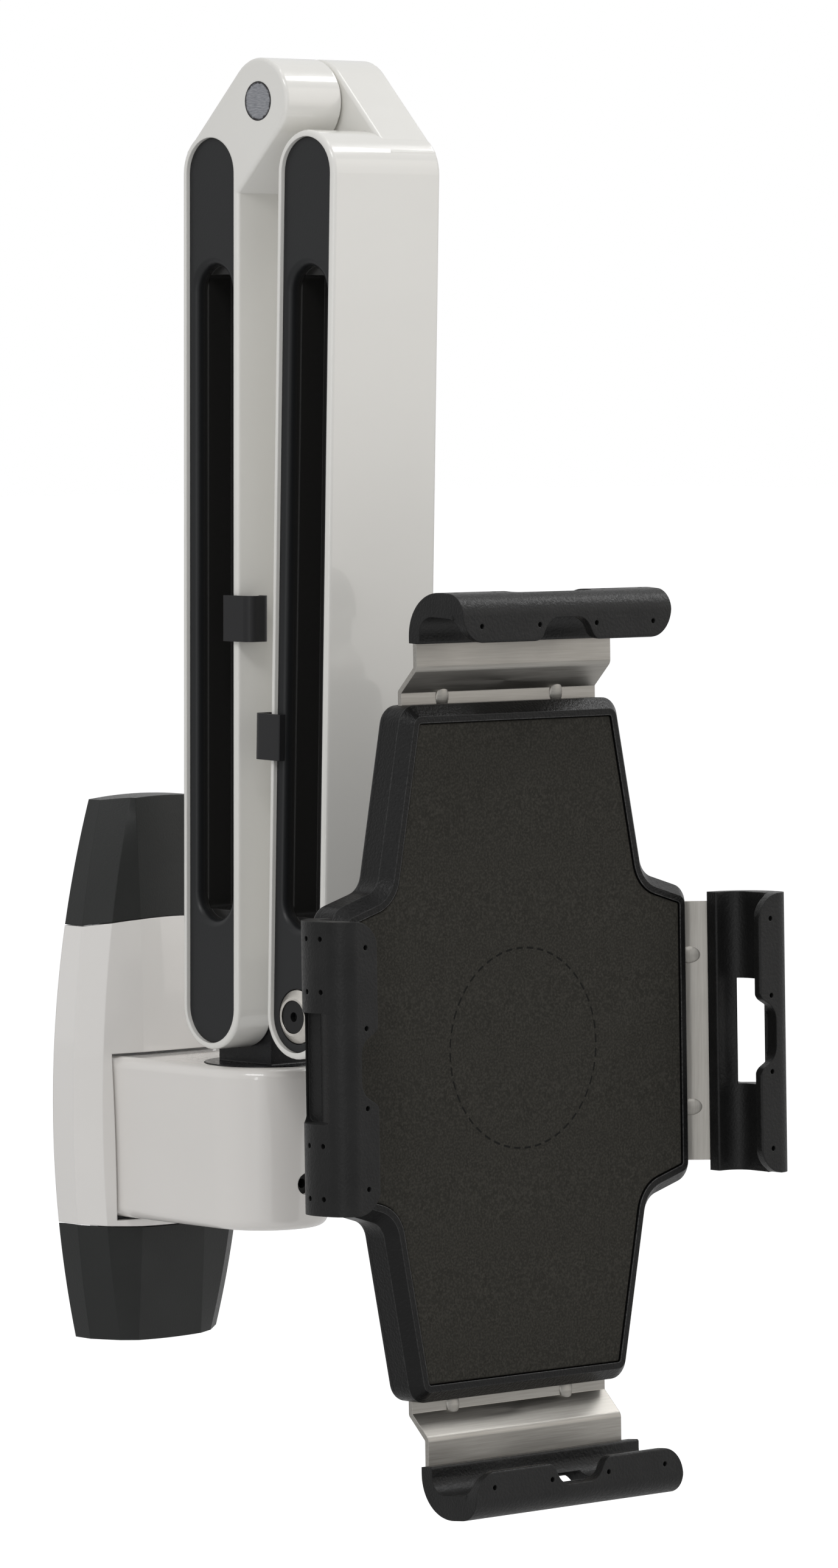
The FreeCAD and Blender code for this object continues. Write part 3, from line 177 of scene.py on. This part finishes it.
def cad_copy(node, name):
    """A new piece with the node's mesh, its doubled points merged."""
    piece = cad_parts[node].copy()
    piece.data = piece.data.copy()
    piece.name = name
    bpy.context.scene.collection.objects.link(piece)
    bpy.ops.object.select_all(action="DESELECT")
    piece.select_set(True)
    bpy.context.view_layer.objects.active = piece
    bpy.ops.object.mode_set(mode="EDIT")
    bpy.ops.mesh.select_all(action="SELECT")
    bpy.ops.mesh.remove_doubles(threshold=0.00001)
    bpy.ops.object.mode_set(mode="OBJECT")
    bpy.ops.mesh.customdata_custom_splitnormals_clear()
    return piece


def flat_faces(piece, angle):
    """Smooths the piece's shading, but keeps its large faces flat and its edges sharp."""
    bpy.ops.object.shade_smooth_by_angle(angle=math.radians(angle))
    weighting = piece.modifiers.new("flat_faces", "WEIGHTED_NORMAL")
    weighting.weight = 100
    weighting.keep_sharp = True
    bpy.ops.object.modifier_apply(modifier="flat_faces")


def room_part(name, size, place, tilt):
    """A flat square of the room, which is no piece of the part."""
    bpy.ops.object.select_all(action="DESELECT")
    bpy.ops.mesh.primitive_plane_add(size=size, location=place, rotation=tilt)
    piece = bpy.context.object
    piece.name = name
    return piece


floor = room_part("floor", 40.0, (0, 0, -0.34), (0, 0, 0))
paint, places, shader = new_finish("pale_floor")
feed(places, shader, {"Base Color": (0.80, 0.80, 0.80, 1), "Roughness": 0.9,
                      "Specular IOR Level": 0.1})
seen = Field(places.tree, places.tree.nodes.new("ShaderNodeLightPath").outputs["Is Camera Ray"])
feed(places, shader, {"Emission Color": (1, 1, 1, 1), "Emission Strength": seen * 0.62})
floor.data.materials.append(paint)

room = bpy.data.worlds.new("pale_room")
bpy.context.scene.world = room
room.use_nodes = True
tree = room.node_tree
ray = tree.nodes.new("ShaderNodeLightPath").outputs
seen_straight = Field(tree, ray["Is Camera Ray"]) + Field(tree, ray["Is Transmission Ray"])
shown = seen_straight + Field(tree, ray["Is Glossy Ray"]) * 0.5
level = shown.ramp(0, 1, 0.52, 1.0)
tree.links.new(level.socket, tree.nodes["Background"].inputs["Strength"])
tree.nodes["Background"].inputs["Color"].default_value = (1, 1, 1, 1)


def soft_lamp(name, place, aim, size, watts, tint=(1, 1, 1)):
    """A rectangular lamp at the place, turned to the aim."""
    lamp = bpy.data.lights.new(name, "AREA")
    lamp.shape = "RECTANGLE"
    lamp.size, lamp.size_y = size
    lamp.energy = watts
    lamp.color = tint
    stand = bpy.data.objects.new(name, lamp)
    stand.location = place
    stand.rotation_euler = (Vector(aim) - Vector(place)).to_track_quat("-Z", "Y").to_euler()
    bpy.context.scene.collection.objects.link(stand)


middle = (0, -0.1, 0.08)
arm_front = (0, -0.1, 0.2)
soft_lamp("upper_left_lamp", (-1.5, -1.1, 1.7), middle, (1.1, 0.5), 12.0)
soft_lamp("right_lamp", (1.7, -1.9, 0.7), middle, (1.0, 1.6), 3.5, (1, 0.93, 0.86))
soft_lamp("overhead_lamp", (0.2, -0.5, 1.9), middle, (1.5, 0.3), 4.0)
soft_lamp("upper_right_lamp", (1.6, -0.55, 1.7), arm_front, (0.9, 0.4), 9.0)
soft_lamp("low_left_lamp", (-1.75, -1.5, 0.1), middle, (0.2, 1.3), 3.5)


# The two arms, pressure-cast beams with a lobe for the elbow. They are powder coated in a
# warm gloss white, which leaves a faint orange peel and soft, bright edges. The same coat
# is on the nose that carries the arms.

def white_coat(name, tone, roughness, edge):
    """A gloss coat with an orange peel, over edges softened by the radius edge."""
    coat, places, shader = new_finish(name)
    peel = grain(places, 0.006, 1.0)
    patch = grain(places, 0.045, 1.0)
    shade = tuple(c * 0.985 for c in tone)
    feed(places, shader, {
        "Base Color": mixed(places, patch.ramp(0.35, 0.65), (*tone, 1), (*shade, 1)),
        "Roughness": peel.ramp(0.3, 0.7, roughness, roughness + 0.05),
        "Coat Weight": 0.8, "Coat Roughness": 0.04,
        "Normal": relief(places, peel, 0.000012, edge)})
    return coat


arm_paint = white_coat("warm_white_powder_coat", (0.80, 0.79, 0.755), 0.16, 0.0006)
wear(arm_paint, "lower_arm_frame", "upper_arm_frame")
nose_paint = white_coat("nose_white_coat", (0.80, 0.775, 0.745), 0.22, 0.0006)
wear(nose_paint, "nose_block")


# The base covers, mouldings over the wall plate: a white one in the middle with a slate
# grey cap above and below. Their faces are smooth and satin, and their edges sharp.

cover_white = white_coat("satin_white_moulding", (0.82, 0.80, 0.775), 0.3, 0.0006)
wear(cover_white, "base_cover")


def dark_moulding(name, tone, roughness, edge, texture=0.0006, depth=0.00004, gloss=0.26,
                  painted_edge_highlight=None, seam=None):
    """Dark plastic with a fine spark texture and, where a colour is given for it, a painted
    highlight along the sharp edges.

    The seam is a point and the normal of the plane in which two mouldings meet.
    """
    finish, places, shader = new_finish(name)
    spark = grain(places, texture, 4.0)
    patch = grain(places, 0.03, 2.0)
    light = tuple(c * 1.22 for c in tone)
    colour = mixed(places, patch.ramp(0.3, 0.7), (*tone, 1), (*light, 1))
    # Painted highlight: a lighter colour along the sharp edges, flecked by the spark texture.
    if painted_edge_highlight:
        colour = mixed(places, edges_of(places, 0.0006) * spark.ramp(0.35, 0.65, 0.3, 1.0),
                       colour, (*painted_edge_highlight, 1))
    if seam:
        point, normal = seam
        off = places.vector("SUBTRACT", point).vector("DOT_PRODUCT", normal, out=1)
        colour = mixed(places, off.near(0.0, 0.00028), colour, (0.0006, 0.0006, 0.0006, 1))
    feed(places, shader, {
        "Base Color": colour, "Specular IOR Level": gloss,
        "Roughness": spark.ramp(0.3, 0.7, roughness, roughness + 0.12),
        "Normal": relief(places, spark, depth, edge)})
    return finish


slate = dark_moulding("slate_moulding", (0.0195, 0.0205, 0.0200), 0.34, 0.0005)
wear(slate, "top_cap", "bottom_cap")


# The arm covers, charcoal mouldings let into each side of an arm. A long rounded slot opens
# to a cable trough, whose smooth walls lie in the dark. The trough's shading is painted into the
# colour, which changes with depth into the trough.

trough_floor, cover_face = 0.0165, 0.0186
charcoal, places, shader = new_finish("charcoal_cover")
spark = grain(places, 0.0005, 3.0)
# Painted shading: a mask by depth into the trough sets the colour of the trough walls apart from
# the cover's face.
painted_trough_shading = abs(places.part(0)).ramp(trough_floor, cover_face, 1.0, 0.0)
feed(places, shader, {
    "Base Color": mixed(places, painted_trough_shading, (0.0150, 0.0157, 0.0168, 1), (0.0200, 0.0196, 0.0188, 1)),
    "Roughness": painted_trough_shading.ramp(0, 1, 0.36, 0.24), "Specular IOR Level": 0.3,
    "Normal": relief(places, spark, 0.00002, 0.0004)})
wear(charcoal, "lower_arm_left_cover", "lower_arm_right_cover", "upper_arm_left_cover",
     "upper_arm_right_cover")


# The cable clips, strips of black coated spring steel bent round the arm's edge.

clip_coat = dark_moulding("black_clip_coat", (0.016, 0.016, 0.017), 0.34, 0.0003, 0.0004,
                          0.00001)
wear(clip_coat, "lower_cable_clip", "upper_cable_clip")


# The swivel under the arms, the tilt knuckle and the head link behind the holder: castings
# in a glossy black coat.

black_coat = dark_moulding("gloss_black_coat", (0.008, 0.008, 0.009), 0.18, 0.0006, 0.0015,
                           0.00002)
wear(black_coat, "swivel_knuckle", "tilt_knuckle", "head_link")


# Turned steel: washers, screws and the bright cone rings of the tilt bolt. The cutting tool
# leaves fine rings about the axis of each part.

def turned_steel(name, tone, roughness, axis, centre, pitch=0.00022):
    """Steel with rings about an axis, 0 for x, 1 for y and 2 for z, through the centre."""
    steel, places, shader = new_finish(name)
    across = tuple(0 if number == axis else 1 for number in range(3))
    radius = places.vector("SUBTRACT", centre).vector("MULTIPLY", across).length()
    rings = ((radius + places.part(axis)) * (2 * math.pi / pitch)).wave()
    smudge = grain(places, 0.004, 3.0)
    dull = tuple(c * 0.78 for c in tone)
    feed(places, shader, {
        "Base Color": mixed(places, smudge.ramp(0.35, 0.7), (*tone, 1), (*dull, 1)),
        "Metallic": 1.0,
        "Roughness": rings.ramp(-1, 1, roughness, roughness + 0.1),
        "Normal": relief(places, rings, 0.000006, 0.0003)})
    return steel


bolt_axis = (0, -0.09936, 0.03362)
ring_steel = turned_steel("polished_ring_steel", (0.72, 0.69, 0.64), 0.2, 0, bolt_axis)
wear(ring_steel, "tilt_ring_left", "tilt_ring_right")
swivel_axis = (0, -0.060, 0)
plain_steel = turned_steel("plain_turned_steel", (0.55, 0.54, 0.52), 0.3, 2, swivel_axis)
wear(plain_steel, "spindle_washer", "spindle_nut", "lower_pivot_pin")
holder_axis = (0, 0, 0.0285)
facing_steel = turned_steel("facing_turned_steel", (0.55, 0.54, 0.52), 0.3, 1, holder_axis)
wear(facing_steel, "keeper_plate", "keeper_screws", "nose_screws")


# The wall plate, hot-dip galvanised sheet with a broad crystal pattern.

zinc, places, shader = new_finish("galvanised_plate")
crystal = places.node("TexVoronoi", {}, {"Vector": places, "Scale": 160.0}, out=1)
tone = crystal.part(0)
feed(places, shader, {
    "Base Color": mixed(places, tone, (0.42, 0.43, 0.44, 1), (0.62, 0.63, 0.64, 1)),
    "Metallic": 0.9, "Roughness": tone.ramp(0, 1, 0.35, 0.55),
    "Normal": relief(places, tone, 0.00001, 0.0004)})
wear(zinc, "wall_plate")


# The elbow pin, a blued steel bar ground flush with the white lobe. Its face shows scratches
# and a dark burred edge.

blued, places, shader = new_finish("blued_pin_steel")
elbow = (0, -0.08237, 0.314)
face_radius, rim_radius = 0.0058, 0.0064
radius = places.vector("SUBTRACT", elbow).vector("MULTIPLY", (0, 1, 1)).length()
burr = grain(places, 0.0011, 3.0)
scratch = grain(places, 0.0005, 3.0, (1, 0.25, 1.6))
rim = (radius + burr * 0.0014).ramp(face_radius, rim_radius)
face = mixed(places, scratch.ramp(0.35, 0.65), (0.24, 0.25, 0.27, 1), (0.37, 0.375, 0.40, 1))
feed(places, shader, {
    "Base Color": mixed(places, rim, face, (0.03, 0.028, 0.03, 1)), "Metallic": 0.55,
    "Roughness": scratch.ramp(0.3, 0.7, 0.34, 0.52),
    "Normal": relief(places, scratch - rim, 0.00006)})
wear(blued, "elbow_pin")


# Blackened steel: the tilt bolt's head and nut, the head's pin and the small screws.

matt_black = dark_moulding("blackened_steel", (0.0075, 0.0075, 0.0078), 0.40, 0.0003, 0.0004,
                           0.00001, 0.3)
wear(matt_black, "tilt_bolt", "tilt_nut", "head_swivel_pin", "guide_screws", "shell_screws",
     "tension_screw")


# Bronze bushes and nylon friction washers, which show only as thin lines at the joints.

bronze = turned_steel("sintered_bronze", (0.50, 0.36, 0.17), 0.42, 2, swivel_axis, 0.0004)
wear(bronze, "upper_swivel_bush", "lower_swivel_bush", "elbow_bush")
nylon = white_coat("natural_nylon", (0.70, 0.68, 0.61), 0.45, 0.0002)
wear(nylon, "elbow_washer", "rotation_washer")


# The holder's two shells, black mouldings with a fine leathery spark texture, a bevelled rim
# and a painted highlight along the edges, where they would catch the light.

holder_middle = (0, -0.1775, 0.0285)
holder_tilt = math.radians(-1.4)
holder_frame = Matrix.Translation(holder_middle) @ Matrix.Rotation(holder_tilt, 4, "X")
quarters = {"top": 0, "right": 1, "bottom": 2, "left": 3}
seam_depth = 0.01005
seam_point = holder_frame @ Vector((0, seam_depth, 0))
seam_normal = holder_frame.to_3x3() @ Vector((0, 1, 0))
shell_black = dark_moulding("textured_black_shell", (0.0052, 0.0052, 0.0052), 0.28, 0.00025,
                            0.0008, 0.00018, 0.20, (0.10, 0.10, 0.10),
                            (seam_point, seam_normal))
wear(shell_black, "front_shell", "back_shell")


# The foam pad in the holder, a sheet of fine closed-cell foam glued into the tray. Its edge
# is pressed round, and a die has left a dashed ring of short cuts round its middle.

foam, places, shader = new_finish("olive_grey_foam")
cells = grain(places, 0.0007, 4.0)
mottle = grain(places, 0.0035, 4.0)
ring_middle, ring_radius, ring_cuts = (0.0013, -0.1775, 0.0282), 0.0302, 44.0
shifted = places.vector("SUBTRACT", ring_middle)
radius = shifted.vector("MULTIPLY", (1, 0, 1)).length()
angle = shifted.part(2).sum("ARCTAN2", shifted.part(2), shifted.part(0))
cut = radius.near(ring_radius, 0.0003) * ((angle * ring_cuts).wave() > -0.35)
tint = mixed(places, mottle.ramp(0.3, 0.7), (0.0215, 0.0203, 0.0168, 1),
             (0.0270, 0.0257, 0.0215, 1))
speckled = mixed(places, cells.ramp(0.42, 0.72), tint, (0.052, 0.049, 0.042, 1))
feed(places, shader, {
    "Base Color": mixed(places, cut, speckled, (0.008, 0.008, 0.007, 1)),
    "Roughness": cells.ramp(0.3, 0.7, 0.78, 0.92), "Specular IOR Level": 0.15,
    "Normal": relief(places, cells - cut * 1.5, 0.00018, 0.0005)})

pad = cad_copy("foam_pad", "soft_foam_pad")
bpy.ops.object.mode_set(mode="EDIT")
bpy.ops.mesh.select_all(action="SELECT")
bpy.ops.mesh.dissolve_limited(angle_limit=math.radians(1))
bpy.ops.object.mode_set(mode="OBJECT")
rounding = pad.modifiers.new("pressed_edge", "BEVEL")
rounding.width = 0.0006
rounding.segments = 3
rounding.limit_method = "ANGLE"
rounding.angle_limit = math.radians(50)
bpy.ops.object.modifier_apply(modifier="pressed_edge")
flat_faces(pad, 35)
pad.data.materials.clear()
pad.data.materials.append(foam)
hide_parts("foam_pad")
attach(pad, "holder")


# The sliding brackets, strips of aluminium sheet with a brushed face. The brush has run
# across each strip, along the step.

def brushed_sheet(name, stretch):
    """Sheet metal whose brush lines are drawn out by the stretch."""
    sheet, places, shader = new_finish(name)
    hair = grain(places, 0.0005, 4.0, stretch)
    cloud = grain(places, 0.012, 2.0)
    feed(places, shader, {
        "Base Color": mixed(places, hair.ramp(0.3, 0.7), (0.34, 0.326, 0.300, 1),
                            (0.42, 0.405, 0.378, 1)),
        "Metallic": 1.0, "Anisotropic": 0.4,
        "Roughness": (hair * 0.16 + cloud * 0.12).ramp(0.05, 0.25, 0.34, 0.48),
        "Normal": relief(places, hair, 0.000012, 0.0003)})
    return sheet


sheet_across = brushed_sheet("brushed_sheet_across", (0.035, 1, 1))
sheet_upright = brushed_sheet("brushed_sheet_upright", (1, 1, 0.035))
wear(sheet_across, "top_bracket", "bottom_bracket")
wear(sheet_upright, "left_bracket", "right_bracket")


def strip_frame(side):
    """The place and turn of the side's strip, whose z runs out from the holder's middle."""
    return holder_frame @ Matrix.Rotation(math.radians(90 * quarters[side]), 4, "Y")


# Stiffening beads, pressed into the inner corner of each bracket's step, two to a bracket. A
# bead is a low, long dome. The side brackets have theirs on the slope of the step.

def pressed_bead(place):
    """Half of a stretched ball, on the sheet's face at the place."""
    bpy.ops.object.select_all(action="DESELECT")
    bpy.ops.mesh.primitive_uv_sphere_add(segments=24, ring_count=14, radius=1.0)
    bead = bpy.context.object
    bpy.ops.object.mode_set(mode="EDIT")
    bpy.ops.mesh.select_all(action="SELECT")
    bpy.ops.mesh.bisect(plane_co=(0, 0, 0), plane_no=(0, 1, 0), use_fill=True,
                        clear_outer=True)
    bpy.ops.object.mode_set(mode="OBJECT")
    bead.data.transform(place @ Matrix.Diagonal((*bead_size, 1)))
    bpy.ops.object.select_all(action="DESELECT")
    bead.select_set(True)
    bpy.ops.object.shade_smooth_by_angle(angle=math.radians(40))
    return bead


bead_size = (0.0027, 0.0010, 0.0040)
beads_out = 0.0235
on_flat = (0.1056, 0.0077, 8, sheet_across)
on_slope = (0.0772, 0.0059, 40, sheet_upright)
for side, (rise, depth, slope, sheet) in (("top", on_flat), ("right", on_slope),
                                          ("bottom", on_flat), ("left", on_slope)):
    lean = Matrix.Rotation(math.radians(slope), 4, "X")
    pair = [pressed_bead(strip_frame(side) @ Matrix.Translation((x, depth, rise)) @ lean)
            for x in (-beads_out, beads_out)]
    bpy.ops.object.select_all(action="DESELECT")
    for bead in pair:
        bead.select_set(True)
    bpy.context.view_layer.objects.active = pair[0]
    bpy.ops.object.join()
    pair[0].name = side + "_bracket_beads"
    pair[0].data.materials.append(sheet)
    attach(pair[0], side + "_slider")


# The rubber hooks that hold the tablet, moulded over the ends of the brackets. The rubber is
# matt black with a fine grain, and the lips of the hooks lean in over the tablet.

rubber, places, shader = new_finish("drawn_rubber")
lines = grain(places, 0.0007, 4.0, (0.8, 1, 0.8))
bloom = grain(places, 0.009, 3.0)
feed(places, shader, {
    "Base Color": mixed(places, bloom.ramp(0.3, 0.75), (0.0080, 0.0080, 0.0080, 1),
                        (0.0125, 0.0125, 0.0124, 1)),
    "Specular IOR Level": 0.24,
    "Roughness": lines.ramp(0.3, 0.7, 0.34, 0.5),
    "Normal": relief(places, lines, 0.00016, 0.0005)})
hook_height = 0.0232
end_lean, side_lean, side_pull = 0.0018, 0.0028, 0.0012


def leaning_hook(side, pull, lean):
    """A hook pulled towards the middle, with its lip leaning in by a further lean."""
    piece = cad_copy(side + "_hook", side + "_leaning_hook")
    piece.data.transform(strip_frame(side).inverted())
    for point in piece.data.vertices:
        point.co.z -= pull - lean * point.co.y / hook_height
    piece.data.transform(strip_frame(side))
    flat_faces(piece, 30)
    piece.data.materials.clear()
    piece.data.materials.append(rubber)
    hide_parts(side + "_hook")
    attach(piece, side + "_slider")


leaning_hook("top", 0.0, end_lean)
leaning_hook("bottom", 0.0, end_lean)
leaning_hook("right", side_pull, side_lean)
leaning_hook("left", side_pull, side_lean)
